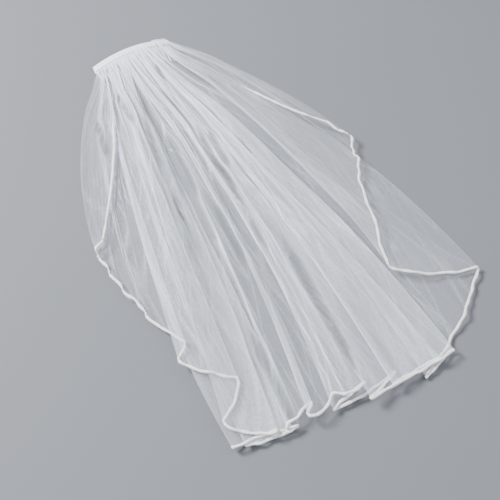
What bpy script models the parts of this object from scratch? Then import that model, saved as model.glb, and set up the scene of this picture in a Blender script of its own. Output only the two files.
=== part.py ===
"""Short bridal veil laid out flat: one rounded cut of tulle gathered on a hair comb.

The veil lies on a surface. +X runs along the comb, +Y from the hem to the comb and +Z up.
The gathered edge sits on the comb's arched spine, held there by a folded band, and the cut
fans out towards -Y in flat folds whose order, place and reach the table FOLDS gives.
"""
import bmesh
import bpy
import numpy as np
from mathutils import Matrix

# Comb, metres
COMB_LENGTH = 0.116
COMB_RISE = 0.0125
COMB_THICKNESS = 0.0020
SPINE_DEPTH = 0.0065
TOOTH_LENGTH = 0.036
TOOTH_COUNT = 23
TOOTH_SHARE = 0.42
TOOTH_TIP_SHARE = 0.55
TOOTH_DROP = 0.45

# Band folded round the spine and the gathered edge
BAND_WALL = 0.0010
BAND_OVERHANG = 0.0020
BAND_BACK = 0.0014
BAND_FRONT = 0.0092

# Tulle and its edge trim
SPREAD = 0.410
FALL = 0.620
GATHER_INSET = 0.0045
TULLE_WALL = 0.0010
TRIM_WIDTH = 0.0036
TRIM_THICKNESS = 0.0011
GAP = 0.0003
BAND_GAP = 0.00045
RIM_GAP = 0.0009
TRIM_START = 0.45
FOLD_NOTCH = 0.0045
TRIM_EVEN = 0.012
LEAST_SLANT = 0.30
LEAST_SPACING = 0.30

# How the folds lie
LAYER_PITCH = 0.0024
FOLD_TURN = 0.0060
BOW_START = 0.25
FOLD_OPENING = 0.0060
LAYER_SLOPE = 0.085
FLAT_LENGTH = 0.040
SPLIT_LENGTH = 0.160
PUFF_LENGTH = 0.060
DROP_START = 0.040
DROP_LENGTH = 0.110
RIDGE_HEIGHT = 0.0024
RIDGE_COUNT = 7
RIDGE_CENTRE = 0.110
MAP_CELL = 0.0040
MAP_MARGIN = 0.020

# Fineness of the faceted solids
HEM_STEP = 0.0010
COLUMN_STEP = 0.0190
ROW_COUNT = 13
ROW_WIDENING = 1.2
BAND_STEPS = 23

# One row for each stretch of hem between two folds, from the left side edge to the right one.
# across: where it ends, as a share of SPREAD from the comb's middle.
# down: how far below the comb that is, as a share of FALL.
# order: which stretch lies on which, 0 lowest.
# belly: sideways bulge of the stretch as a share of its own length, to the right of its run.
# bow: sideways bow of the fold line up to the comb, as a share of SPREAD.
FOLDS = (
    # name, across, down, order, belly, bow
    ("left_side", -0.402, 0.456, 0, 0.00, 0.065),
    ("left_outer", -0.430, 0.490, 12.5, 0.00, -0.075),
    ("left_knee", -0.328, 0.755, 9, 0.07, -0.020),
    ("left_knee_back", -0.377, 0.778, 10, 0.00, -0.020),
    ("second_knee", -0.244, 0.865, 11, 0.03, 0.000),
    ("second_back", -0.339, 0.929, 15, -0.10, 0.010),
    ("left_front", -0.212, 0.989, 16, 0.16, 0.040),
    ("left_tail", -0.359, 0.979, 7, 0.00, -0.095),
    ("under_right", -0.171, 0.997, 1, 0.05, 0.030),
    ("under_left", -0.329, 0.987, 5, 0.00, -0.060),
    ("tail_right", -0.161, 1.000, 6, 0.06, 0.035),
    ("tail_back", -0.198, 0.994, 12, 0.00, 0.038),
    ("curl_top", -0.095, 0.970, 13, -0.06, 0.048),
    ("curl_back", -0.134, 0.989, 14, 0.00, 0.050),
    ("small_curl", -0.032, 0.972, 17, 0.05, 0.052),
    ("small_curl_end", -0.010, 0.984, 17, -0.10, 0.054),
    ("middle_right", 0.070, 0.982, 17, 0.04, 0.045),
    ("middle_left", -0.066, 1.004, 4, 0.00, 0.062),
    ("inner_right", 0.166, 0.993, 2, 0.04, 0.026),
    ("inner_left", 0.049, 1.013, 20, 0.00, 0.034),
    ("front_right", 0.300, 1.005, 21, 0.02, 0.040),
    ("front_left", 0.124, 1.010, 22, 0.00, 0.040),
    ("right_front", 0.351, 1.003, 23, 0.03, 0.066),
    ("right_tail", 0.217, 1.032, 3, 0.00, 0.060),
    ("far_corner", 0.576, 0.877, 0, 0.05, 0.100),
    ("upper_knee", 0.327, 0.795, 24, -0.07, 0.055),
    ("right_outer", 0.488, 0.525, 25, 0.00, 0.035),
    ("right_side", 0.501, 0.460, 26, 0.00, -0.075),
)

COLOURS = {
    "comb": (0.90, 0.91, 0.92, 1.0),
    "band": (0.86, 0.87, 0.89, 1.0),
    "veil_tulle": (0.80, 0.83, 0.87, 1.0),
    "edge_trim": (0.94, 0.94, 0.92, 1.0),
}
ROUGHNESS = {"comb": 0.30, "band": 0.45, "veil_tulle": 0.80, "edge_trim": 0.60}


def ease(value):
    """Smooth step from 0 to 1."""
    clipped = np.clip(value, 0.0, 1.0)
    return clipped * clipped * (3.0 - 2.0 * clipped)


def blurred(values, sigma, step):
    """Running Gaussian mean of samples that lie step apart, with the ends held."""
    reach = int(np.ceil(3.0 * sigma / step))
    offsets = np.arange(-reach, reach + 1) * step
    kernel = np.exp(-0.5 * (offsets / sigma) ** 2)
    padded = np.concatenate((np.full(reach, values[0]), values, np.full(reach, values[-1])))
    return np.convolve(padded, kernel / kernel.sum(), mode="valid")


def comb_arch(x):
    """Height of the band's underside at x: an arch that stands on its two ends."""
    share = np.clip(np.asarray(x) / (COMB_LENGTH / 2.0 + BAND_OVERHANG), -1.0, 1.0)
    return COMB_RISE * (1.0 - share ** 2)


class Hem:
    """The laid-out hem as even samples along the cut, with the place of each fold in it."""

    def __init__(self):
        across = np.array([row[1] for row in FOLDS]) * SPREAD
        down = np.array([row[2] for row in FOLDS]) * FALL
        belly = np.array([row[4] for row in FOLDS])
        bow = np.array([row[5] for row in FOLDS]) * SPREAD
        lines = []
        lengths = []
        for i in range(1, len(FOLDS)):
            start = np.array([across[i - 1], -down[i - 1]])
            end = np.array([across[i], -down[i]])
            run = end - start
            side = np.array([run[1], -run[0]]) * belly[i]
            share = np.linspace(0.0, 1.0, 65)[:, None]
            line = start + run * share + side * 4.0 * share * (1.0 - share)
            lines.append(line if i == 1 else line[1:])
            lengths.append(np.linalg.norm(np.diff(line, axis=0), axis=1).sum())
        path = np.vstack(lines)
        run_length = np.concatenate(([0.0], np.cumsum(np.linalg.norm(np.diff(path, axis=0), axis=1))))
        self.length = run_length[-1]
        self.folds = np.concatenate(([0.0], np.cumsum(lengths)))
        self.at = np.arange(0.0, self.length + HEM_STEP / 2.0, HEM_STEP)
        self.x = blurred(np.interp(self.at, run_length, path[:, 0]), FOLD_TURN / 2.0, HEM_STEP)
        self.y = blurred(np.interp(self.at, run_length, path[:, 1]), FOLD_TURN / 2.0, HEM_STEP)
        self.bow = blurred(np.interp(self.at, self.folds, bow), FOLD_TURN, HEM_STEP)

    def columns(self):
        """Places along the cut for the grid's columns: closer together near each fold."""
        places = [np.zeros(1)]
        for i in range(1, len(FOLDS)):
            length = self.folds[i] - self.folds[i - 1]
            near = min(FOLD_OPENING / 2.0, length / 4.0)
            count = max(2, int(round(length / COLUMN_STEP)))
            inner = np.linspace(near, length - near, count + 1)
            places.append(self.folds[i - 1] + np.append(inner, length))
        return np.concatenate(places)


HEM = Hem()


def thread(cut, share):
    """Plan place of the cut at length cut along the hem and share down from the comb.

    A thread runs from its place in the gathers on the comb to its place on the hem, and bows
    sideways between them as a parabola that starts gently at the comb.
    """
    x_hem = np.interp(cut, HEM.at, HEM.x)
    y_hem = np.interp(cut, HEM.at, HEM.y)
    bow = np.interp(cut, HEM.at, HEM.bow)
    gather = COMB_LENGTH - 2.0 * GATHER_INSET
    x_comb = gather * (cut / HEM.length - 0.5)
    swing = 4.0 * share * (1.0 - share) * ease(share / BOW_START)
    x = x_comb + (x_hem - x_comb) * share + bow * swing
    y = y_hem * share
    return x, y


class Stack:
    """Maps of the height at which each stretch of the folded cut rests on those below it.

    Stretches are laid from the lowest order up. Each rests on the top of what is there and
    slopes by at most LAYER_SLOPE, so it bridges the steps at the edges under it.
    """

    def __init__(self):
        self.low = np.array([HEM.x.min() - MAP_MARGIN, HEM.y.min() - MAP_MARGIN])
        high = np.array([HEM.x.max() + MAP_MARGIN, MAP_MARGIN])
        self.shape = tuple(int(np.ceil(v / MAP_CELL)) + 1 for v in high - self.low)
        y = self.low[1] + np.arange(self.shape[1]) * MAP_CELL
        pitch = np.tile(LAYER_PITCH * ease((-y - FLAT_LENGTH) / SPLIT_LENGTH), (self.shape[0], 1))
        shares = np.linspace(0.0, 1.0, int(2.0 * FALL / MAP_CELL))
        top = np.zeros(self.shape)
        self.rest = {}
        for i in sorted(range(1, len(FOLDS)), key=lambda k: FOLDS[k][3]):
            cut = np.arange(HEM.folds[i - 1], HEM.folds[i] + MAP_CELL / 2.0, MAP_CELL / 2.0)
            x, y = thread(cut[:, None], shares[None, :])
            ix = np.round((x - self.low[0]) / MAP_CELL).astype(int)
            iy = np.round((y - self.low[1]) / MAP_CELL).astype(int)
            covered = np.zeros(self.shape, bool)
            covered[ix, iy] = True
            self.rest[i] = self.bridged(top)
            top = np.where(covered, np.maximum(top, self.rest[i] + pitch), top)

    @staticmethod
    def bridged(top):
        """The lowest surface over a map that is nowhere steeper than LAYER_SLOPE."""
        out = top.copy()
        fall = LAYER_SLOPE * MAP_CELL
        sides = (slice(1, None), slice(None, -1)), (slice(None, -1), slice(1, None))
        whole = slice(None), slice(None)
        moves = [(across, whole, fall) for across in sides]
        moves += [(whole, down, fall) for down in sides]
        moves += [(across, down, fall * np.sqrt(2.0)) for across in sides for down in sides]
        for _ in range(int(np.ceil(top.max() / fall))):
            before = out.copy()
            for across, down, drop in moves:
                moved = before[across[1], down[1]] - drop
                out[across[0], down[0]] = np.maximum(out[across[0], down[0]], moved)
        return out

    def height(self, i, x, y):
        """Height at which stretch i rests at plan places x, y."""
        level = self.rest[i]
        fx = np.clip((x - self.low[0]) / MAP_CELL, 0.0, self.shape[0] - 1.001)
        fy = np.clip((y - self.low[1]) / MAP_CELL, 0.0, self.shape[1] - 1.001)
        ix = fx.astype(int)
        iy = fy.astype(int)
        ux = fx - ix
        uy = fy - iy
        near = level[ix, iy] * (1.0 - ux) + level[ix + 1, iy] * ux
        far = level[ix, iy + 1] * (1.0 - ux) + level[ix + 1, iy + 1] * ux
        return near * (1.0 - uy) + far * uy


STACK = Stack()


def ridges(x, y):
    """Broad folds that all layers share: rays of a wave round a point behind the comb."""
    angle = np.arctan2(x, RIDGE_CENTRE - y)
    out = ease((-y - BAND_FRONT) / (FALL / 2.0))
    wave = np.sin(angle * RIDGE_COUNT * 2.0 + 1.3 * np.sin(angle * 5.0))
    return RIDGE_HEIGHT * out * 0.5 * (1.0 + wave)


def veil_surface(cut, share):
    """Middle surface of the tulle at length cut along the hem and share down from the comb.

    Height is the drop from the band to the ground, plus what the stretch rests on, plus the
    shared ridges. At a fold the height passes from one stretch to the next.
    """
    x, y = thread(cut, share)
    level = np.zeros_like(x)
    for i in range(1, len(FOLDS)):
        into = 1.0 if i == 1 else ease((cut - HEM.folds[i - 1]) / FOLD_OPENING + 0.5)
        out = 0.0 if i == len(FOLDS) - 1 else ease((cut - HEM.folds[i]) / FOLD_OPENING + 0.5)
        weight = (into - out) * np.ones_like(x)
        level = level + weight * STACK.height(i, x, y)
    way = np.hypot(x - np.clip(x, -COMB_LENGTH / 2.0, COMB_LENGTH / 2.0), y)
    on_comb = BAND_WALL + BAND_GAP + COMB_THICKNESS + BAND_GAP + TULLE_WALL / 2.0
    at_comb = comb_arch(x) + on_comb
    drop = ease((way - DROP_START) / DROP_LENGTH)
    base = at_comb * (1.0 - drop) + (TRIM_THICKNESS / 2.0) * drop
    z = base + level * ease((way - BAND_FRONT) / PUFF_LENGTH) + ridges(x, y)
    return np.stack((x, y, z), axis=-1)


def trim_reach(cut):
    """Share of each thread that the trim takes at the hem, for an even width square to it."""
    x, y = thread(HEM.at, 1.0)
    x_up, y_up = thread(HEM.at, 0.99)
    down = normalised(np.stack((x - x_up, y - y_up), axis=-1))
    run = normalised(np.stack((np.gradient(x), np.gradient(y)), axis=-1))
    slant = np.abs(down[:, 0] * run[:, 1] - down[:, 1] * run[:, 0])
    slant = np.maximum(blurred(slant, TRIM_EVEN, HEM_STEP), LEAST_SLANT)
    return np.interp(cut, HEM.at, TRIM_WIDTH / slant / np.abs(HEM.y))


def side_reach(share, end):
    """Cut length that the trim takes along a side edge, for an even width square to it."""
    probe = 2.0 * HEM_STEP
    outer = np.full_like(share, end)
    x0, y0 = thread(outer, share)
    x1, y1 = thread(np.abs(outer - probe), share)
    x2, y2 = thread(outer, share * 0.99)
    down = normalised(np.stack((x0 - x2, y0 - y2), axis=-1))
    spacing = np.abs((x1 - x0) * down[..., 1] - (y1 - y0) * down[..., 0]) / probe
    return TRIM_WIDTH / np.maximum(spacing, LEAST_SPACING)


def beside_edge(even, left):
    """Columns with the first stretch squeezed to leave its edge free for the trim."""
    first = HEM.folds[1]
    return np.where(even < first, left + (first - left) * even / first, even)


def tulle_grid():
    """The tulle's corners in cut length and share: all of the cut inside its trim.

    The first row is the gathered edge, the second lies just outside the band's mouth, and
    the rest widen towards the hem.
    """
    even = HEM.columns()
    rest = np.linspace(0.0, 1.0, ROW_COUNT - 1)[:, None] ** ROW_WIDENING
    mouth = (BAND_FRONT + 3.0 * GAP) / np.abs(np.interp(even, HEM.at, HEM.y))
    off_fold = np.abs(even[:, None] - HEM.folds[None, :]).min(axis=1)
    notch = np.where(off_fold < FOLD_OPENING, FOLD_NOTCH, 0.0)
    hem = 1.0 - trim_reach(even) * (1.0 + (RIM_GAP + notch) / TRIM_WIDTH)
    share = np.vstack((np.zeros((1, len(even))), mouth + (hem - mouth) * rest))
    left = side_reach(share[:, 0], 0.0) * (1.0 + RIM_GAP / TRIM_WIDTH)
    return beside_edge(even[None, :], left[:, None]), share


def trim_grid():
    """The trim's inner and outer rows: down the left side edge and along the hem."""
    even = HEM.columns()
    left = np.linspace(TRIM_START, 1.0, ROW_COUNT)
    near_hem = 1.0 - trim_reach(even)
    left_in = TRIM_START + (near_hem[0] - TRIM_START) * (left - TRIM_START) / (1.0 - TRIM_START)
    first = side_reach(left_in, 0.0)
    outer_cut = np.concatenate((np.zeros(ROW_COUNT), even[1:]))
    outer_share = np.concatenate((left, np.ones(len(even) - 1)))
    inner_cut = np.concatenate((first, beside_edge(even, first[-1])[1:]))
    inner_share = np.concatenate((left_in, near_hem[1:]))
    return np.stack((inner_cut, outer_cut)), np.stack((inner_share, outer_share))


def grid_faces(rows, columns):
    """Corner numbers of the quads of a grid, row by row."""
    corner = (np.arange(rows - 1)[:, None] * columns + np.arange(columns - 1)[None, :]).ravel()
    return np.stack((corner, corner + 1, corner + columns + 1, corner + columns), axis=1)


def normalised(vectors):
    """Vectors of length one."""
    return vectors / np.maximum(np.linalg.norm(vectors, axis=-1, keepdims=True), 1e-9)


def add_mesh(name, points, faces, collection):
    """New object from points and faces, with its own material and outward faces."""
    mesh = bpy.data.meshes.new(name)
    mesh.from_pydata(np.asarray(points).tolist(), [], np.asarray(faces, dtype=object).tolist())
    made = bmesh.new()
    made.from_mesh(mesh)
    bmesh.ops.recalc_face_normals(made, faces=made.faces)
    made.to_mesh(mesh)
    made.free()
    piece = bpy.data.objects.new(name, mesh)
    collection.objects.link(piece)
    give_material(piece, name)
    return piece


def give_material(piece, name):
    """The piece's own material, from the colour and roughness tables."""
    material = bpy.data.materials.new(name)
    material.use_nodes = True
    shader = material.node_tree.nodes["Principled BSDF"]
    shader.inputs["Base Color"].default_value = COLOURS[name]
    shader.inputs["Roughness"].default_value = ROUGHNESS[name]
    shader.inputs["Metallic"].default_value = 0.0
    piece.data.materials.append(material)


def solidify(piece, thickness):
    """Wall of even thickness, half to each side of the surface."""
    wall = piece.modifiers.new("wall", "SOLIDIFY")
    wall.thickness = thickness
    wall.offset = 0.0
    wall.use_even_offset = False


def make_comb(collection, origin):
    """Plain comb: an arched spine with teeth that taper towards their tips.

    A flat grid has one column of faces for each tooth and each gap; the gaps' front faces are
    taken away, the grid is bent to the arch, and it gets its thickness.
    """
    spans = 2 * TOOTH_COUNT - 1
    tooth_pitch = COMB_LENGTH / (TOOTH_COUNT - 1 + TOOTH_SHARE)
    made = bmesh.new()
    bmesh.ops.create_grid(made, x_segments=spans, y_segments=4, size=0.5)
    made.verts.ensure_lookup_table()
    front_rows = (0.0, 1.0 / 3.0, 2.0 / 3.0, 1.0)
    for vert in made.verts:
        column = int(round((vert.co.x + 0.5) * spans))
        row = int(round((0.5 - vert.co.y) * 4))
        tooth = column // 2
        left = tooth * tooth_pitch - COMB_LENGTH / 2.0
        x = left + (column % 2) * tooth_pitch * TOOTH_SHARE
        y = 0.0
        if row > 0:
            forward = front_rows[row - 1]
            middle = left + tooth_pitch * TOOTH_SHARE / 2.0
            x = middle + (x - middle) * (1.0 - (1.0 - TOOTH_TIP_SHARE) * forward)
            y = -SPINE_DEPTH - TOOTH_LENGTH * forward
        vert.co = (x, y, 0.0)
    gaps = []
    for face in made.faces:
        centre = face.calc_center_median()
        place = (centre.x + COMB_LENGTH / 2.0) % tooth_pitch
        if centre.y < -SPINE_DEPTH and place > tooth_pitch * (TOOTH_SHARE + 0.05):
            gaps.append(face)
    bmesh.ops.delete(made, geom=gaps, context="FACES")
    for vert in made.verts:
        forward = np.clip((-vert.co.y - SPINE_DEPTH) / TOOTH_LENGTH, 0.0, 1.0)
        height = float(comb_arch(vert.co.x)) * (1.0 - TOOTH_DROP * forward ** 2)
        vert.co.z = height + COMB_THICKNESS / 2.0 + BAND_WALL + BAND_GAP
    bmesh.ops.recalc_face_normals(made, faces=made.faces)
    mesh = bpy.data.meshes.new("comb")
    made.to_mesh(mesh)
    made.free()
    mesh.transform(move_to(origin))
    piece = bpy.data.objects.new("comb", mesh)
    collection.objects.link(piece)
    give_material(piece, "comb")
    solidify(piece, COMB_THICKNESS)
    return piece


def move_to(origin):
    """Matrix that moves the model so that its box's bottom centre is the origin."""
    return Matrix.Translation((-origin[0], -origin[1], -origin[2]))


def make_band(collection, origin):
    """Folded band: a U of one wall that closes behind the spine and opens towards the hem."""
    inner = COMB_THICKNESS + TULLE_WALL + 3.0 * BAND_GAP
    low = BAND_WALL / 2.0
    high = low + BAND_WALL + inner
    middle = (low + high) / 2.0
    front = -BAND_FRONT
    profile = [(front, low), (GAP, low)]
    for turn in (-45.0, 0.0, 45.0):
        angle = np.radians(turn)
        profile.append((GAP + BAND_BACK * np.cos(angle), middle + (high - middle) * np.sin(angle)))
    profile += [(GAP, high), (front, high)]
    profile = np.array(profile)
    reach = COMB_LENGTH / 2.0 + BAND_OVERHANG
    x = np.linspace(-reach, reach, BAND_STEPS + 1)
    points = np.zeros((len(x), len(profile), 3))
    points[:, :, 0] = x[:, None]
    points[:, :, 1] = profile[None, :, 0]
    points[:, :, 2] = profile[None, :, 1] + comb_arch(x)[:, None]
    piece = add_mesh("band", points.reshape(-1, 3), grid_faces(len(x), len(profile)), collection)
    piece.data.transform(move_to(origin))
    solidify(piece, BAND_WALL)
    return piece


def make_tulle(collection, origin):
    """The cut of tulle as one wall: the grid of its threads and rows."""
    cut, share = tulle_grid()
    points = veil_surface(cut, share)
    piece = add_mesh("veil_tulle", points.reshape(-1, 3), grid_faces(*cut.shape), collection)
    piece.data.transform(move_to(origin))
    solidify(piece, TULLE_WALL)
    return piece


def make_trim(collection, origin):
    """Narrow ribbon along both side edges and the hem, in the tulle's own folds."""
    cut, share = trim_grid()
    points = veil_surface(cut, share)
    piece = add_mesh("edge_trim", points.reshape(-1, 3), grid_faces(*cut.shape), collection)
    piece.data.transform(move_to(origin))
    solidify(piece, TRIM_THICKNESS)
    return piece


def model_origin():
    """Bottom centre of the laid-out veil's box."""
    cut, share = trim_grid()
    edge = veil_surface(cut, share).reshape(-1, 3)
    back = GAP + BAND_BACK + BAND_WALL / 2.0
    low = edge.min(axis=0)
    high = edge.max(axis=0)
    return ((low[0] + high[0]) / 2.0, (low[1] + back) / 2.0, 0.0)


def main():
    for old in list(bpy.data.objects):
        bpy.data.objects.remove(old, do_unlink=True)
    collection = bpy.data.collections.new("short_bridal_veil")
    bpy.context.scene.collection.children.link(collection)
    origin = model_origin()
    make_comb(collection, origin)
    make_band(collection, origin)
    make_tulle(collection, origin)
    make_trim(collection, origin)


main()
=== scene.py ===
"""Short bridal veil laid out flat on a plain floor: tulle, ribbed edge trim, band and comb.

+X runs along the comb, +Y from the hem to the comb and +Z up, in metres. Plan places are
worked out from the middle of the comb's back edge and moved to the frame at the end.
"""

import bpy
import numpy as np
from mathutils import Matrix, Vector


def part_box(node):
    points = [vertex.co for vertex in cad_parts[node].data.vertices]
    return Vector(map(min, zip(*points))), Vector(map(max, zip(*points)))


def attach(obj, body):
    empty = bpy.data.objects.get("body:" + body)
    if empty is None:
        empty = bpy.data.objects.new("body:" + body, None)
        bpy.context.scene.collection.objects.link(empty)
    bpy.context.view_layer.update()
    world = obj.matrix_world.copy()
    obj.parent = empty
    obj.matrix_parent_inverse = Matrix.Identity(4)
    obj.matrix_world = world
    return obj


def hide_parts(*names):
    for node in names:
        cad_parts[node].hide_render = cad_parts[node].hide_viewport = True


COMB_LENGTH = 0.116
COMB_RISE = 0.0125
BAND_OVERHANG = 0.0020
BAND_FRONT = 0.0092
SPREAD = 0.410
FALL = 0.620
GATHER_INSET = 0.0045
GATHER_HEIGHT = 0.0044
REAL_WIDTH = 1.54

TRIM_WIDTH = 0.0037
TRIM_THICKNESS = 0.0022
TRIM_START = 0.36
TRIM_START_RIGHT = 0.56
TRIM_TAPER = 0.030
TRIM_EVEN = 0.012
LEAST_SLANT = 0.30
LEAST_SPACING = 0.30

LAYER_PITCH = 0.0021
LAYER_SLOPE = 0.10
FOLD_TURN = 0.0060
BOW_START = 0.25
FOLD_OPENING = 0.0050
DROP_START = 0.030
DROP_LENGTH = 0.120
MAP_CELL = 0.0030
LEAN_X = 0.305
LEAN_Y = 0.573
HEM_STEP = 0.0010
CORE_ANGLE = np.radians(-3.0)
CORE_HALF = np.radians(15.0)
CORE_EDGE = np.radians(8.0)
OUTER_SHEERNESS = 0.6
PUFF_ANGLE = np.radians(12.0)
PUFF_HALF = np.radians(6.0)
PUFF_CALM = 0.75

# One row for each stretch of hem between two folds, from the left side edge to the right one.
# across: where it ends, as a share of SPREAD from the comb's middle.
# down: how far below the comb that is, as a share of FALL.
# order: which stretch lies on which, 0 lowest.
# belly: sideways bulge of the stretch as a share of its own length, to the right of its run.
# bow: sideways bow of the fold line up to the comb, as a share of SPREAD.
FOLDS = (
    # name, across, down, order, belly, bow
    ("left_side", -0.402, 0.456, 0, 0.00, 0.065),
    ("left_outer", -0.430, 0.490, 12.5, 0.00, -0.075),
    ("left_knee", -0.328, 0.755, 9, 0.07, -0.020),
    ("left_knee_back", -0.377, 0.778, 10, 0.00, -0.020),
    ("second_knee", -0.244, 0.865, 11, 0.03, 0.000),
    ("second_back", -0.339, 0.929, 15, -0.10, 0.010),
    ("left_front", -0.212, 0.989, 16, 0.16, 0.040),
    ("left_tail", -0.359, 0.979, 7, 0.00, -0.095),
    ("under_right", -0.171, 0.997, 1, 0.05, 0.030),
    ("under_left", -0.329, 0.987, 5, 0.00, -0.060),
    ("tail_right", -0.161, 1.000, 6, 0.06, 0.035),
    ("tail_back", -0.198, 0.994, 12, 0.00, 0.038),
    ("curl_top", -0.095, 0.970, 13, -0.06, 0.048),
    ("curl_back", -0.134, 0.989, 14, 0.00, 0.050),
    ("small_curl", -0.032, 0.972, 17, 0.18, 0.052),
    ("small_curl_end", -0.010, 0.984, 17, -0.10, 0.054),
    ("middle_right", 0.070, 0.982, 17, 0.04, 0.045),
    ("middle_left", -0.066, 1.004, 4, 0.00, 0.062),
    ("inner_right", 0.166, 0.993, 2, 0.04, 0.026),
    ("inner_left", 0.049, 1.013, 20, 0.00, 0.034),
    ("front_right", 0.300, 1.005, 21, 0.02, 0.040),
    ("front_left", 0.124, 1.010, 22, 0.00, 0.040),
    ("right_front", 0.351, 1.003, 23, 0.03, 0.066),
    ("right_tail", 0.217, 1.032, 3, 0.00, 0.060),
    ("far_corner", 0.576, 0.877, 0, 0.05, 0.100),
    ("upper_knee", 0.327, 0.795, 24, -0.07, 0.055),
    ("right_outer", 0.501, 0.460, 25, 0.00, 0.035),
    ("right_side", 0.468, 0.405, 26, 0.00, -0.075),
)

# One row for each slit where two bundles of gathers part, in plan from the comb's middle.
# x0, y0, x1, y1: its two ends, in metres. half: half its width at its middle.
PARTINGS = (
    # name, x0, y0, x1, y1, half
    ("long_slit", 0.023, -0.170, 0.021, -0.300, 0.0048),
    ("long_slit_low", 0.021, -0.270, 0.015, -0.404, 0.0036),
    ("left_slit", -0.017, -0.160, -0.027, -0.285, 0.0060),
    ("side_slit", -0.095, -0.092, -0.105, -0.168, 0.0042),
    ("top_slit", 0.018, -0.030, 0.017, -0.140, 0.0016),
    ("upper_left_slit", -0.050, -0.065, -0.052, -0.132, 0.0040),
    ("fine_slit", -0.030, -0.110, -0.056, -0.245, 0.0022),
    ("upper_right_slit", 0.033, -0.187, 0.032, -0.258, 0.0044),
    ("middle_slit", 0.041, -0.380, 0.025, -0.600, 0.0074),
    ("hem_slit", -0.059, -0.480, -0.072, -0.640, 0.0062),
    ("left_low_slit", -0.013, -0.295, -0.021, -0.405, 0.0028),
    ("left_fine_slit", -0.052, -0.255, -0.074, -0.380, 0.0024),
)
PARTING_REACH = 0.020
PARTING_EDGE = 0.0012


def ease(value):
    """Smooth step from 0 to 1."""
    clipped = np.clip(value, 0.0, 1.0)
    return clipped * clipped * (3.0 - 2.0 * clipped)


def blurred(values, sigma, step):
    """Running Gaussian mean of samples that lie step apart, with the ends held."""
    reach = int(np.ceil(3.0 * sigma / step))
    offsets = np.arange(-reach, reach + 1) * step
    kernel = np.exp(-0.5 * (offsets / sigma) ** 2)
    padded = np.concatenate((np.full(reach, values[0]), values, np.full(reach, values[-1])))
    return np.convolve(padded, kernel / kernel.sum(), mode="valid")


def comb_arch(x):
    """Height of the band's underside at x: an arch that stands on its two ends."""
    share = np.clip(np.asarray(x) / (COMB_LENGTH / 2.0 + BAND_OVERHANG), -1.0, 1.0)
    return COMB_RISE * (1.0 - share ** 2)


def normalised(vectors):
    """Vectors of length one."""
    return vectors / np.maximum(np.linalg.norm(vectors, axis=-1, keepdims=True), 1e-9)


class Hem:
    """The laid-out hem as even samples along the cut, with the place of each fold in it."""

    def __init__(self):
        across = np.array([row[1] for row in FOLDS]) * SPREAD
        down = np.array([row[2] for row in FOLDS]) * FALL
        belly = np.array([row[4] for row in FOLDS])
        bow = np.array([row[5] for row in FOLDS]) * SPREAD
        lines = []
        lengths = []
        for i in range(1, len(FOLDS)):
            start = np.array([across[i - 1], -down[i - 1]])
            end = np.array([across[i], -down[i]])
            run = end - start
            side = np.array([run[1], -run[0]]) * belly[i]
            share = np.linspace(0.0, 1.0, 65)[:, None]
            line = start + run * share + side * 4.0 * share * (1.0 - share)
            lines.append(line if i == 1 else line[1:])
            lengths.append(np.linalg.norm(np.diff(line, axis=0), axis=1).sum())
        path = np.vstack(lines)
        run_length = np.concatenate(([0.0], np.cumsum(np.linalg.norm(np.diff(path, axis=0), axis=1))))
        self.length = run_length[-1]
        self.folds = np.concatenate(([0.0], np.cumsum(lengths)))
        self.at = np.arange(0.0, self.length + HEM_STEP / 2.0, HEM_STEP)
        self.x = blurred(np.interp(self.at, run_length, path[:, 0]), FOLD_TURN / 2.0, HEM_STEP)
        self.y = blurred(np.interp(self.at, run_length, path[:, 1]), FOLD_TURN / 2.0, HEM_STEP)
        self.bow = blurred(np.interp(self.at, self.folds, bow), FOLD_TURN, HEM_STEP)

    def columns(self, step):
        """Places along the cut for a grid's columns, about step apart, closer at each fold."""
        places = [np.zeros(1)]
        near = FOLD_OPENING / 2.0
        for i in range(1, len(FOLDS)):
            length = self.folds[i] - self.folds[i - 1]
            count = max(3, int(round(length / step)))
            inner = np.linspace(near, length - near, count)
            places.append(self.folds[i - 1] + np.append(inner, length))
        return np.concatenate(places)


HEM = Hem()


def thread(cut, share):
    """Plan place of the cut at length cut along the hem and share down from the comb.

    A thread runs from its place in the gathers on the comb to its place on the hem, and bows
    sideways between them as a parabola that starts gently at the comb.
    """
    x_hem = np.interp(cut, HEM.at, HEM.x)
    y_hem = np.interp(cut, HEM.at, HEM.y)
    bow = np.interp(cut, HEM.at, HEM.bow)
    gather = COMB_LENGTH - 2.0 * GATHER_INSET
    x_comb = gather * (cut / HEM.length - 0.5)
    swing = 4.0 * share * (1.0 - share) * ease(share / BOW_START)
    x = x_comb + (x_hem - x_comb) * share + bow * swing
    y = y_hem * share
    return x, y


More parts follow.
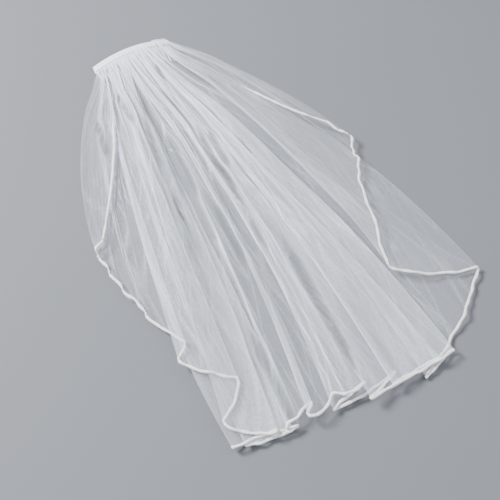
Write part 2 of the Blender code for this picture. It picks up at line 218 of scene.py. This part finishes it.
class Stack:
    """Maps of the height at which each stretch of the folded cut rests on those below it.

    Stretches are laid from the lowest order up. Each rests on the top of what is there, with
    no slope steeper than LAYER_SLOPE, so it bridges the steps at the edges under it.
    """

    def __init__(self):
        margin = 0.030
        self.low = np.array([HEM.x.min() - margin, HEM.y.min() - margin])
        high = np.array([HEM.x.max() + margin, margin])
        self.shape = tuple(int(np.ceil(v / MAP_CELL)) + 1 for v in high - self.low)
        y = self.low[1] + np.arange(self.shape[1]) * MAP_CELL
        pitch = LAYER_PITCH * ease((-y - 0.030) / 0.150)[None, :] * np.ones(self.shape)
        top = np.zeros(self.shape)
        self.rest = {}
        shares = np.linspace(0.0, 1.0, int(FALL / MAP_CELL * 1.8))
        for i in sorted(range(1, len(FOLDS)), key=lambda k: FOLDS[k][3]):
            cut = np.arange(HEM.folds[i - 1], HEM.folds[i] + MAP_CELL / 2.0, MAP_CELL / 2.0)
            x, y = thread(cut[:, None], shares[None, :])
            ix = np.clip(np.round((x - self.low[0]) / MAP_CELL).astype(int), 0, self.shape[0] - 1)
            iy = np.clip(np.round((y - self.low[1]) / MAP_CELL).astype(int), 0, self.shape[1] - 1)
            lies = np.zeros(self.shape, bool)
            lies[ix, iy] = True
            rest = self.bridged(top)
            self.rest[i] = rest
            top = np.where(lies, np.maximum(top, rest + pitch), top)

    @staticmethod
    def bridged(top):
        """The lowest surface on a map that no slope of is steeper than LAYER_SLOPE."""
        out = top.copy()
        straight = LAYER_SLOPE * MAP_CELL
        steps = int(np.ceil(top.max() / straight)) if top.max() > 0.0 else 0
        for _ in range(min(steps, 40)):
            before = out.copy()
            out[1:, :] = np.maximum(out[1:, :], before[:-1, :] - straight)
            out[:-1, :] = np.maximum(out[:-1, :], before[1:, :] - straight)
            out[:, 1:] = np.maximum(out[:, 1:], before[:, :-1] - straight)
            out[:, :-1] = np.maximum(out[:, :-1], before[:, 1:] - straight)
            out[1:, 1:] = np.maximum(out[1:, 1:], before[:-1, :-1] - straight * 1.41)
            out[:-1, :-1] = np.maximum(out[:-1, :-1], before[1:, 1:] - straight * 1.41)
            out[1:, :-1] = np.maximum(out[1:, :-1], before[:-1, 1:] - straight * 1.41)
            out[:-1, 1:] = np.maximum(out[:-1, 1:], before[1:, :-1] - straight * 1.41)
        return out

    def height(self, i, x, y):
        """Height at which stretch i rests at plan places x, y."""
        level = self.rest[i]
        fx = np.clip((x - self.low[0]) / MAP_CELL, 0.0, self.shape[0] - 1.001)
        fy = np.clip((y - self.low[1]) / MAP_CELL, 0.0, self.shape[1] - 1.001)
        ix = fx.astype(int)
        iy = fy.astype(int)
        ux = fx - ix
        uy = fy - iy
        near = level[ix, iy] * (1.0 - ux) + level[ix + 1, iy] * ux
        far = level[ix, iy + 1] * (1.0 - ux) + level[ix + 1, iy + 1] * ux
        return near * (1.0 - uy) + far * uy


STACK = Stack()


def shared_folds(x, y):
    """Soft folds that all layers share: uneven waves round a point behind the comb."""
    angle = np.arctan2(x, 0.110 - y)
    way = np.hypot(x, y)
    broad = np.sin(angle * 27.0 + 1.6 * np.sin(angle * 5.0 + way * 3.0) + 0.7)
    fine = np.sin(angle * 61.0 + 2.1 * np.sin(angle * 9.0 - way * 5.0))
    out = ease((way - 0.050) / 0.200)
    return out * (0.0022 * (1.0 + broad) + 0.0008 * (1.0 + fine))


def gathers(cut, way):
    """Sideways and upward wave of the gathers, which start at the comb and die out down the veil.

    Each is a sheared wave, the same sine sideways and up, so that the cloth folds over itself
    where the sideways part is steep and yet never passes through itself.
    """
    phase = cut / HEM.length
    uneven = 0.35 * np.sin(phase * 91.0) + 0.5 * np.sin(phase * 37.0 + 1.0)
    near = np.sin(2.0 * np.pi * 60.0 * phase + 3.0 * uneven)
    fine = np.sin(2.0 * np.pi * 88.0 * phase + 5.0 * uneven + 9.0 * way)
    far = np.sin(2.0 * np.pi * 27.0 * phase + 4.0 * uneven + 0.8 - 5.0 * way)
    size = 0.45 + 0.55 * (0.5 + 0.5 * np.sin(phase * 143.0 + 2.0 * np.sin(phase * 51.0)))
    patch = 0.5 + 0.5 * np.sin(phase * 77.0 + way * 13.0 + 2.0 * np.sin(phase * 23.0 + way * 6.0))
    rise = ease((way - 0.004) / 0.030)
    near_fade = rise * size * (1.0 - ease((way - 0.060) / 0.260))
    mid = ease((way - 0.020) / 0.080) * (1.0 - ease((way - 0.230) / 0.330)) * (0.30 + 0.70 * patch ** 2)
    far_fade = rise * size * (1.0 - 0.6 * ease((way - 0.300) / 0.300))
    sideways = 0.0020 * near_fade * near + 0.0034 * mid * fine + 0.0045 * far_fade * far
    upward = 0.0017 * near_fade * near + 0.0019 * mid * fine + 0.0013 * far_fade * far
    return sideways, upward


def partings(x, y):
    """Plan push that opens the slits, and how much it stretches the cloth across them."""
    push_x = np.zeros_like(x)
    push_y = np.zeros_like(x)
    stretch = np.ones_like(x)
    for _name, x0, y0, x1, y1, half in PARTINGS:
        run = np.hypot(x1 - x0, y1 - y0)
        way_x = (x1 - x0) / run
        way_y = (y1 - y0) / run
        along = ((x - x0) * way_x + (y - y0) * way_y) / run
        off = (y - y0) * way_x - (x - x0) * way_y
        lens = half * ease(np.clip(4.0 * along * (1.0 - along), 0.0, 1.0) * 1.3)
        fade = np.clip(1.0 - np.abs(off) / PARTING_REACH, 0.0, 1.0) ** 2
        side = np.tanh(off / PARTING_EDGE)
        push_x = push_x - lens * side * fade * way_y
        push_y = push_y + lens * side * fade * way_x
        stretch = stretch + lens * (1.0 - side ** 2) / PARTING_EDGE * fade
    return push_x, push_y, stretch


def rim_wobble(cut, share):
    """Small sideways and upward waves of the cloth's rim, where the edging keeps it from lying flat."""
    rim = ease((share - 0.90) / 0.10)
    along = cut * 2.0 * np.pi
    first = np.sin(along / 0.046 + 2.0 * np.sin(along / 0.31))
    second = np.sin(along / 0.023 + 1.5 * np.sin(along / 0.17) + 1.0)
    return rim * (0.0004 * first + 0.0003 * second), rim * (0.0005 * (1.0 + second) + 0.0004 * (1.0 + first))


def veil_surface(cut, share):
    """Middle surface of the tulle at length cut along the hem and share down from the comb.

    Also gives how much the cloth is stretched across by the slits.
    """
    x, y = thread(cut, share)
    level = np.zeros_like(x)
    for i in range(1, len(FOLDS)):
        into = 1.0 if i == 1 else ease((cut - HEM.folds[i - 1]) / FOLD_OPENING + 0.5)
        out = 0.0 if i == len(FOLDS) - 1 else ease((cut - HEM.folds[i]) / FOLD_OPENING + 0.5)
        weight = (into - out) * np.ones_like(x)
        level = level + weight * STACK.height(i, x, y)
    way = np.hypot(x - np.clip(x, -COMB_LENGTH / 2.0, COMB_LENGTH / 2.0), y)
    at_comb = comb_arch(x) + GATHER_HEIGHT
    drop = ease((way - DROP_START) / DROP_LENGTH)
    base = at_comb * (1.0 - drop) + 0.0010 * drop
    angle = np.arctan2(x, 0.110 - y)
    sideways, upward = gathers(cut, way)
    puff = np.exp(-((angle - PUFF_ANGLE) / PUFF_HALF) ** 2) * (1.0 - ease((way - 0.200) / 0.100))
    sideways = sideways * (1.0 - PUFF_CALM * puff)
    upward = upward * (1.0 - PUFF_CALM * puff)
    down_rim, up_rim = rim_wobble(cut, share)
    z = base + level + shared_folds(x, y) + upward + up_rim
    x = x + sideways * np.cos(angle) + down_rim * np.sin(angle)
    y = y + sideways * np.sin(angle) - down_rim * np.cos(angle)
    push_x, push_y, stretch = partings(x, y)
    lean = ease(way / 0.300)
    x = x + push_x - LEAN_X * z * lean
    y = y + push_y - LEAN_Y * z * lean
    return np.stack((x, y, np.maximum(z, 0.0006)), axis=-1), stretch


def trim_reach(cut):
    """Share of each thread that the trim takes at the hem, for an even width square to it."""
    x, y = thread(HEM.at, 1.0)
    x_up, y_up = thread(HEM.at, 0.99)
    down = normalised(np.stack((x - x_up, y - y_up), axis=-1))
    run = normalised(np.stack((np.gradient(x), np.gradient(y)), axis=-1))
    slant = np.abs(down[:, 0] * run[:, 1] - down[:, 1] * run[:, 0])
    slant = np.maximum(blurred(slant, TRIM_EVEN, HEM_STEP), LEAST_SLANT)
    return np.interp(cut, HEM.at, TRIM_WIDTH / slant / np.abs(HEM.y))


def side_reach(share, end):
    """Cut length that the trim takes along a side edge, for an even width square to it."""
    probe = 2.0 * HEM_STEP
    outer = np.full_like(share, end)
    inner = outer + (probe if end == 0.0 else -probe)
    x0, y0 = thread(outer, share)
    x1, y1 = thread(inner, share)
    spacing = np.hypot(x1 - x0, y1 - y0) / probe
    return TRIM_WIDTH / np.maximum(spacing, LEAST_SPACING)


def grid_faces(rows, columns, closed=False):
    """Corner numbers of the quads of a grid, row by row; closed joins the last column on."""
    across = np.arange(columns if closed else columns - 1)[None, :]
    down = np.arange(rows - 1)[:, None] * columns
    following = (across + 1) % columns
    return np.stack(
        ((down + across).ravel(), (down + following).ravel(),
         (down + columns + following).ravel(), (down + columns + across).ravel()), axis=1)


def add_piece(name, points, faces, material, uv=None, values=None, ends=()):
    """New smooth-shaded object from points and quads, with a uv place and values per point."""
    mesh = bpy.data.meshes.new(name)
    listed = faces.tolist() + [list(end) for end in ends]
    mesh.from_pydata(points.tolist(), [], listed)
    mesh.update()
    mesh.polygons.foreach_set("use_smooth", np.ones(len(mesh.polygons), bool))
    if uv is not None:
        layer = mesh.uv_layers.new(name="UVMap")
        corners = np.empty(len(mesh.loops), np.int32)
        mesh.loops.foreach_get("vertex_index", corners)
        layer.data.foreach_set("uv", uv[corners].astype(np.float32).ravel())
    for key, value in (values or {}).items():
        attribute = mesh.attributes.new(key, "FLOAT", "POINT")
        attribute.data.foreach_set("value", value.astype(np.float32).ravel())
    piece = bpy.data.objects.new(name, mesh)
    bpy.context.scene.collection.objects.link(piece)
    mesh.materials.append(material)
    return piece


class Nodes:
    """Short way to add shader nodes and join them in one material."""

    def __init__(self, name):
        self.material = bpy.data.materials.new(name)
        self.material.use_nodes = True
        self.tree = self.material.node_tree
        self.shader = self.tree.nodes["Principled BSDF"]

    def add(self, kind, **values):
        """New node with the given settings."""
        node = self.tree.nodes.new(kind)
        for key, value in values.items():
            setattr(node, key, value)
        return node

    def join(self, output, target):
        """Link from an output socket to an input socket."""
        self.tree.links.new(output, target)

    def math(self, operation, first, second=None):
        """Math node on sockets or plain numbers; gives its output."""
        node = self.add("ShaderNodeMath", operation=operation)
        for i, value in enumerate((first, second)):
            if value is None:
                continue
            if isinstance(value, (int, float)):
                node.inputs[i].default_value = value
            else:
                self.join(value, node.inputs[i])
        return node.outputs[0]

    def noise(self, vector, scale, detail, roughness=0.5):
        """Noise texture's grey output on the given places."""
        node = self.add("ShaderNodeTexNoise")
        node.inputs["Scale"].default_value = scale
        node.inputs["Detail"].default_value = detail
        node.inputs["Roughness"].default_value = roughness
        self.join(vector, node.inputs["Vector"])
        return node.outputs["Fac"]

    def remap(self, value, low, high, to_low, to_high):
        """Value moved from one range to another, held at the ends."""
        node = self.add("ShaderNodeMapRange")
        self.join(value, node.inputs["Value"])
        for key, number in (("From Min", low), ("From Max", high), ("To Min", to_low), ("To Max", to_high)):
            node.inputs[key].default_value = number
        return node.outputs["Result"]

    def scaled(self, vector, scale):
        """Places multiplied by a scale for each axis."""
        node = self.add("ShaderNodeVectorMath", operation="MULTIPLY")
        self.join(vector, node.inputs[0])
        node.inputs[1].default_value = scale
        return node.outputs[0]

    def creases(self, places, across, along, slant, width):
        """Thin lines that run down the cloth: where a long, narrow noise crosses its middle."""
        parts = self.add("ShaderNodeSeparateXYZ")
        self.join(places, parts.inputs[0])
        sideways = self.math("ADD", self.math("MULTIPLY", parts.outputs["X"], across),
                             self.math("MULTIPLY", parts.outputs["Y"], slant))
        joined = self.add("ShaderNodeCombineXYZ")
        self.join(sideways, joined.inputs["X"])
        self.join(self.math("MULTIPLY", parts.outputs["Y"], along), joined.inputs["Y"])
        grey = self.noise(joined.outputs[0], 1.0, 1.5, 0.45)
        off = self.math("ABSOLUTE", self.math("SUBTRACT", grey, 0.5))
        return self.remap(off, 0.0, width, 1.0, 0.0)

    def bump(self, height, strength, distance):
        """Bump on the shader's normal from a height value."""
        node = self.add("ShaderNodeBump")
        node.inputs["Strength"].default_value = strength
        node.inputs["Distance"].default_value = distance
        self.join(height, node.inputs["Height"])
        self.join(node.outputs["Normal"], self.shader.inputs["Normal"])


def tulle_material():
    """Sheer cool-white net: one layer hides little, and gathered cloth hides more.

    Opacity is 1 - (1 - a) ^ n, with a that of one flat layer and n how many times the cloth is
    gathered there. The net's holes and the streaks of the gathers vary a.
    """
    made = Nodes("tulle")
    places = made.add("ShaderNodeUVMap", uv_map="UVMap").outputs["UV"]
    dense = made.add("ShaderNodeAttribute", attribute_name="gathered").outputs["Fac"]
    streak = made.noise(made.scaled(places, (150.0, 4.0, 1.0)), 1.0, 4.0, 0.6)
    cloud = made.noise(made.scaled(places, (9.0, 9.0, 1.0)), 1.0, 3.0, 0.5)
    grain = made.noise(made.scaled(places, (330.0, 330.0, 1.0)), 1.0, 3.0, 0.65)
    net = made.add("ShaderNodeTexVoronoi", feature="DISTANCE_TO_EDGE")
    net.inputs["Scale"].default_value = 1.0
    net.inputs["Randomness"].default_value = 0.25
    made.join(made.scaled(places, (620.0, 540.0, 1.0)), net.inputs["Vector"])
    strands = made.remap(net.outputs["Distance"], 0.04, 0.16, 1.7, 0.65)
    lines = made.math("MAXIMUM", made.creases(places, 24.0, 1.7, 4.0, 0.020),
                      made.creases(places, 46.0, 2.6, -7.0, 0.018))
    streakiness = made.remap(dense, 1.2, 5.0, 0.35, 1.75)
    streaked = made.math("ADD", 1.0, made.math("MULTIPLY", made.math("SUBTRACT", streak, 0.5), streakiness))
    single = made.math("MULTIPLY", streaked, 0.125)
    single = made.math("MULTIPLY", single, made.remap(cloud, 0.3, 0.7, 0.85, 1.15))
    single = made.math("MULTIPLY", single, made.remap(grain, 0.3, 0.7, 0.55, 1.45))
    single = made.math("MULTIPLY", single, strands)
    lift = made.remap(dense, 1.2, 4.0, 1.0, 2.0)
    single = made.math("MULTIPLY", single, made.math("ADD", 1.0, made.math("MULTIPLY", lines, lift)))
    clear = made.math("SUBTRACT", 1.0, made.math("MINIMUM", single, 0.95))
    opacity = made.math("SUBTRACT", 1.0, made.math("POWER", clear, dense))
    made.join(opacity, made.shader.inputs["Alpha"])
    made.shader.inputs["Base Color"].default_value = (0.82, 0.865, 0.95, 1.0)
    made.shader.inputs["Roughness"].default_value = 0.75
    made.shader.inputs["Specular IOR Level"].default_value = 0.25
    made.shader.inputs["Sheen Weight"].default_value = 0.35
    made.shader.inputs["Sheen Roughness"].default_value = 0.4
    made.bump(made.math("ADD", streak, made.math("MULTIPLY", grain, 0.6)), 0.4, 0.0006)
    return made.material


def trim_material():
    """Warm-white ribbed edging: fine ribs across it and a soft satin shine, with painted shade darkening the grooves
    between the ribs.
    """
    made = Nodes("edge_trim")
    places = made.add("ShaderNodeUVMap", uv_map="UVMap").outputs["UV"]
    wave = made.add("ShaderNodeTexWave", wave_type="BANDS", bands_direction="X")
    wave.inputs["Scale"].default_value = 210.0
    wave.inputs["Distortion"].default_value = 0.6
    wave.inputs["Detail"].default_value = 1.0
    made.join(places, wave.inputs["Vector"])
    fibre = made.noise(made.scaled(places, (900.0, 300.0, 1.0)), 1.0, 3.0)
    height = made.math("ADD", wave.outputs["Fac"], made.math("MULTIPLY", fibre, 0.3))
    # Painted shade: the base colour goes from grey in the grooves between the ribs to warm white on their tops,
    # following the rib height. The fibre noise adds a random tone.
    shade = made.add("ShaderNodeMix", data_type="RGBA")
    made.join(made.remap(height, 0.1, 1.0, 0.0, 1.0), shade.inputs["Factor"])
    shade.inputs["A"].default_value = (0.80, 0.805, 0.81, 1.0)
    shade.inputs["B"].default_value = (0.97, 0.97, 0.955, 1.0)
    made.join(shade.outputs["Result"], made.shader.inputs["Base Color"])
    made.shader.inputs["Roughness"].default_value = 0.45
    made.shader.inputs["Sheen Weight"].default_value = 0.3
    made.shader.inputs["Alpha"].default_value = 0.97
    made.bump(height, 0.6, 0.0004)
    return made.material


def ribbon_material():
    """Smooth white ribbon folded over the gathers: fine weave with soft puckers, with painted shade darkening the
    hollows of the puckers.
    """
    made = Nodes("band")
    places = made.add("ShaderNodeUVMap", uv_map="UVMap").outputs["UV"]
    weave = made.noise(made.scaled(places, (1500.0, 1500.0, 1.0)), 1.0, 2.0)
    pucker = made.noise(made.scaled(places, (260.0, 30.0, 1.0)), 1.0, 3.0)
    height = made.math("ADD", made.math("MULTIPLY", weave, 0.25), pucker)
    # Painted shade: the base colour is a darker blue-grey in the hollows of the puckers and lighter on their crests.
    # The fine weave adds a random tone.
    shade = made.add("ShaderNodeMix", data_type="RGBA")
    made.join(made.remap(height, 0.3, 0.95, 0.0, 1.0), shade.inputs["Factor"])
    shade.inputs["A"].default_value = (0.74, 0.78, 0.84, 1.0)
    shade.inputs["B"].default_value = (0.88, 0.91, 0.96, 1.0)
    made.join(shade.outputs["Result"], made.shader.inputs["Base Color"])
    made.shader.inputs["Roughness"].default_value = 0.5
    made.shader.inputs["Sheen Weight"].default_value = 0.25
    made.bump(height, 0.5, 0.0005)
    return made.material


def comb_material():
    """Milky clear plastic with faint flow marks and fine scratches."""
    made = Nodes("comb")
    places = made.add("ShaderNodeTexCoord").outputs["Object"]
    flow = made.noise(made.scaled(places, (60.0, 25.0, 60.0)), 1.0, 3.0)
    scratch = made.noise(made.scaled(places, (2500.0, 120.0, 900.0)), 1.0, 3.0)
    shade = made.add("ShaderNodeMix", data_type="RGBA")
    made.join(made.remap(flow, 0.3, 0.7, 0.0, 1.0), shade.inputs["Factor"])
    shade.inputs["A"].default_value = (0.82, 0.84, 0.86, 1.0)
    shade.inputs["B"].default_value = (0.90, 0.91, 0.92, 1.0)
    made.join(shade.outputs["Result"], made.shader.inputs["Base Color"])
    made.join(made.remap(scratch, 0.3, 0.8, 0.22, 0.42), made.shader.inputs["Roughness"])
    made.bump(scratch, 0.15, 0.0001)
    return made.material


def floor_material():
    """Plain pale floor, slightly mottled."""
    made = Nodes("floor")
    places = made.add("ShaderNodeTexCoord").outputs["Object"]
    cloud = made.noise(made.scaled(places, (3.0, 3.0, 3.0)), 1.0, 3.0)
    shade = made.add("ShaderNodeMix", data_type="RGBA")
    made.join(cloud, shade.inputs["Factor"])
    shade.inputs["A"].default_value = (0.150, 0.160, 0.178, 1.0)
    shade.inputs["B"].default_value = (0.160, 0.169, 0.187, 1.0)
    made.join(shade.outputs["Result"], made.shader.inputs["Base Color"])
    made.shader.inputs["Roughness"].default_value = 0.8
    return made.material


def make_tulle(shift):
    """The cut of tulle as one fine surface over all its threads and rows."""
    cut = HEM.columns(0.0021)[None, :]
    rows = np.linspace(0.0, 1.0, 98)[:, None] ** 1.15
    back = 0.0025 / FALL
    share = back + (1.0 - back) * rows
    cut = cut * np.ones_like(share)
    share = share * np.ones_like(cut)
    points, stretch = veil_surface(cut, share)
    along = np.linalg.norm(np.gradient(points, axis=1), axis=-1)
    spacing = along / np.maximum(np.gradient(cut, axis=1), 1e-6)
    real = REAL_WIDTH / HEM.length * (1.0 - share) + share
    gathered = np.clip(real / np.maximum(spacing, 1e-3), 1.0, 16.0)
    kernel = np.ones(9) / 9.0
    gathered = np.apply_along_axis(lambda row: np.convolve(np.pad(row, 4, mode="edge"), kernel, "valid"), 1, gathered)
    off_fold = np.abs(cut[:, :, None] - HEM.folds[None, None, 1:-1]).min(axis=2) * (0.15 + 0.85 * share)
    gathered = gathered + 2.2 * np.exp(-(off_fold / 0.0017) ** 2) * ease((share - 0.12) / 0.25)
    gathered = gathered / stretch
    angle = np.arctan2(points[:, :, 0], 0.110 - points[:, :, 1])
    gathered = gathered * (1.0 - OUTER_SHEERNESS * ease((np.abs(angle - CORE_ANGLE) - CORE_HALF) / CORE_EDGE))
    drop = np.interp(cut, HEM.at, -HEM.y) * share
    uv = np.stack((cut * REAL_WIDTH / HEM.length, drop), axis=-1).reshape(-1, 2)
    piece = add_piece("tulle", points.reshape(-1, 3) + shift, grid_faces(*cut.shape), tulle_material(),
                      uv, {"gathered": gathered})
    return piece


def make_trim(shift):
    """Ribbed edging: an oval swept down the left side edge, along the hem and up the right."""
    even = HEM.columns(0.0022)
    steps = 170
    left = np.linspace(TRIM_START, 1.0, steps)
    right = np.linspace(1.0, TRIM_START_RIGHT, steps)
    near_hem = 1.0 - trim_reach(even)
    left_in = np.interp(left, (TRIM_START, 1.0), (TRIM_START, near_hem[0]))
    right_in = np.interp(right, (TRIM_START_RIGHT, 1.0), (TRIM_START_RIGHT, near_hem[-1]))
    first = side_reach(left_in, 0.0)
    last = HEM.length - side_reach(right_in, HEM.length)
    middle = slice(1, -1)
    outer_cut = np.concatenate((np.zeros(steps), even[middle], np.full(steps, HEM.length)))
    outer_share = np.concatenate((left, np.ones(len(even) - 2), right))
    inner_even = first[-1] + (last[0] - first[-1]) * even / HEM.length
    inner_cut = np.concatenate((first, inner_even[middle], last))
    inner_share = np.concatenate((left_in, near_hem[middle], right_in))
    outer = veil_surface(outer_cut, outer_share)[0]
    inner = veil_surface(inner_cut, inner_share)[0]
    centre = (outer + inner) / 2.0
    run = normalised(np.gradient(centre, axis=0))
    across = (outer - inner) / 2.0
    across = across - run * (across * run).sum(axis=1, keepdims=True)
    across = normalised(across) * (TRIM_WIDTH / 2.0)
    up = normalised(np.cross(across, run))
    way = np.concatenate(([0.0], np.cumsum(np.linalg.norm(np.diff(centre, axis=0), axis=1))))
    sides = 8
    turn = -np.arange(sides) * 2.0 * np.pi / sides
    bead = 1.0 + 0.17 * np.sin(2.0 * np.pi * way / 0.0046 + np.sin(way * 170.0))
    bead = bead * (1.0 + 0.12 * np.sin(way * 2.0 * np.pi / 0.017 + 2.0 * np.sin(way * 31.0)))
    bead = bead * (0.15 + 0.85 * ease(np.minimum(way, way[-1] - way) / TRIM_TAPER))
    twist = 0.25 * np.sin(way * 2.0 * np.pi / 0.029 + 2.0 * np.sin(way * 23.0))
    leant = across * np.cos(twist)[:, None] + up * (TRIM_WIDTH / 2.0 * np.sin(twist))[:, None]
    up = normalised(np.cross(leant, run))
    ring = (centre[:, None, :] + (leant * bead[:, None])[:, None, :] * np.cos(turn)[None, :, None]
            + (up * (TRIM_THICKNESS / 2.0 * bead)[:, None])[:, None, :] * np.sin(turn)[None, :, None])
    uv = np.stack(np.broadcast_arrays(way[:, None], (turn * TRIM_WIDTH / 6.3)[None, :]), axis=-1)
    caps = (reversed(range(sides)), range((len(way) - 1) * sides, len(way) * sides))
    return add_piece("hem_trim", ring.reshape(-1, 3) + shift, grid_faces(len(way), sides, True),
                     trim_material(), uv.reshape(-1, 2), None, caps)


def make_band(shift):
    """Ribbon folded over the comb's spine and the gathers: a rounded U with soft puckers."""
    reach = COMB_LENGTH / 2.0 + BAND_OVERHANG
    x = np.linspace(-reach, reach, 361)
    low = 0.0
    high = 0.0056
    middle = (low + high) / 2.0
    half = (high - low) / 2.0
    flat = np.linspace(-BAND_FRONT, -0.0012, 10)
    slope = 0.0007 * (-flat - 0.0012) / (BAND_FRONT - 0.0012)
    turns = np.radians(np.linspace(-90.0, 90.0, 15))
    outer = [(y, low) for y in flat]
    outer += [(-0.0006 + 0.0026 * np.cos(a), middle + half * np.sin(a)) for a in turns]
    outer += [(y, high - drop) for y, drop in zip(flat[::-1], slope[::-1])]
    thin = np.interp([y for y, _ in outer], (-BAND_FRONT, -0.0040), (0.00025, 0.0008))
    inner = [(y, z - t if z > middle else z + t) for (y, z), t in zip(outer, thin)][::-1]
    inner = [(y if y < -0.0012 else -0.0012 + (y + 0.0012) * 0.55, z) for y, z in inner]
    profile = np.array(outer + inner)
    top = (profile[:, 1] > middle).astype(float)
    pucker = 0.00022 * np.sin(x * 1900.0 + 2.0 * np.sin(x * 410.0)) * (0.6 + 0.4 * np.sin(x * 230.0))
    frayed = 0.00035 * np.sin(x * 900.0 + 1.5 * np.sin(x * 333.0))
    front = ease((-profile[:, 0] - 0.004) / 0.005)
    points = np.zeros((len(x), len(profile), 3))
    points[:, :, 0] = x[:, None]
    points[:, :, 1] = profile[None, :, 0] + frayed[:, None] * front[None, :]
    points[:, :, 2] = comb_arch(x)[:, None] + profile[None, :, 1] + pucker[:, None] * (top * front)[None, :]
    uv = np.stack(np.broadcast_arrays(x[:, None], np.linspace(0.0, 0.04, len(profile))[None, :]), axis=-1)
    caps = (reversed(range(len(profile))), range((len(x) - 1) * len(profile), len(x) * len(profile)))
    return add_piece("band_ribbon", points.reshape(-1, 3) + shift, grid_faces(len(x), len(profile), True),
                     ribbon_material(), uv.reshape(-1, 2), None, caps)


def make_floor():
    """Plain floor, big enough to fill the picture from every side."""
    mesh = bpy.data.meshes.new("floor")
    size = 12.0
    mesh.from_pydata([(-size, -size, 0.0), (size, -size, 0.0), (size, size, 0.0), (-size, size, 0.0)], [],
                     [(0, 1, 2, 3)])
    floor = bpy.data.objects.new("floor", mesh)
    floor.data.materials.append(floor_material())
    bpy.context.scene.collection.objects.link(floor)


def aim(thing, target):
    """Turn a camera or lamp towards a point."""
    way = Vector(target) - thing.location
    thing.rotation_euler = way.to_track_quat("-Z", "Y").to_euler()


def make_camera(shift):
    """Camera at the photo's place: above the hem's right, looking down on the veil."""
    camera = bpy.data.objects.new("camera", bpy.data.cameras.new("camera"))
    camera.location = (shift[0] - 0.299, shift[1] - 0.938, 0.9645)
    camera.data.sensor_fit = "HORIZONTAL"
    camera.data.angle = np.radians(31.0)
    aim(camera, (shift[0] - 0.005, shift[1] - 0.385, 0.0))
    bpy.context.scene.collection.objects.link(camera)
    bpy.context.scene.camera = camera


def make_light(name, place, target, size, power):
    """Square soft box aimed at the veil."""
    lamp = bpy.data.lights.new(name, "AREA")
    lamp.shape = "SQUARE"
    lamp.size = size
    lamp.energy = power
    light = bpy.data.objects.new(name, lamp)
    light.location = place
    aim(light, target)
    bpy.context.scene.collection.objects.link(light)


def make_world():
    """Even pale light from all round."""
    world = bpy.data.worlds.new("studio")
    world.use_nodes = True
    back = world.node_tree.nodes["Background"]
    back.inputs["Color"].default_value = (0.92, 0.95, 1.0, 1.0)
    back.inputs["Strength"].default_value = 0.8
    bpy.context.scene.world = world


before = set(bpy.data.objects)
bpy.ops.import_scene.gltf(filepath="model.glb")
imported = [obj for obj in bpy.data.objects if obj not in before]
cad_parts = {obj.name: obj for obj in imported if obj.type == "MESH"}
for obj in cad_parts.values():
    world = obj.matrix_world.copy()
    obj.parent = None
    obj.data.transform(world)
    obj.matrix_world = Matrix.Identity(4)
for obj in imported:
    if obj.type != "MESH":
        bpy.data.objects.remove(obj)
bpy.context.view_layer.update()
low, high = (np.array(corner, float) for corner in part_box("comb"))
SHIFT = np.array([(low[0] + high[0]) / 2.0, high[1], 0.0])

make_camera(SHIFT)
make_world()
make_floor()
make_light("key", (-1.3, 1.1, 1.7), (0.0, 0.0, 0.0), 0.8, 150.0)
make_light("fill", (1.4, -1.0, 1.6), (0.0, 0.0, 0.0), 1.6, 22.0)

tulle = make_tulle(SHIFT)
trim = make_trim(SHIFT)
ribbon = make_band(SHIFT)
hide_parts("veil_tulle")
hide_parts("edge_trim")
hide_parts("band")
for piece in (tulle, trim, ribbon):
    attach(piece, "root")

comb = bpy.data.objects["comb"]
comb.data.materials.clear()
comb.data.materials.append(comb_material())
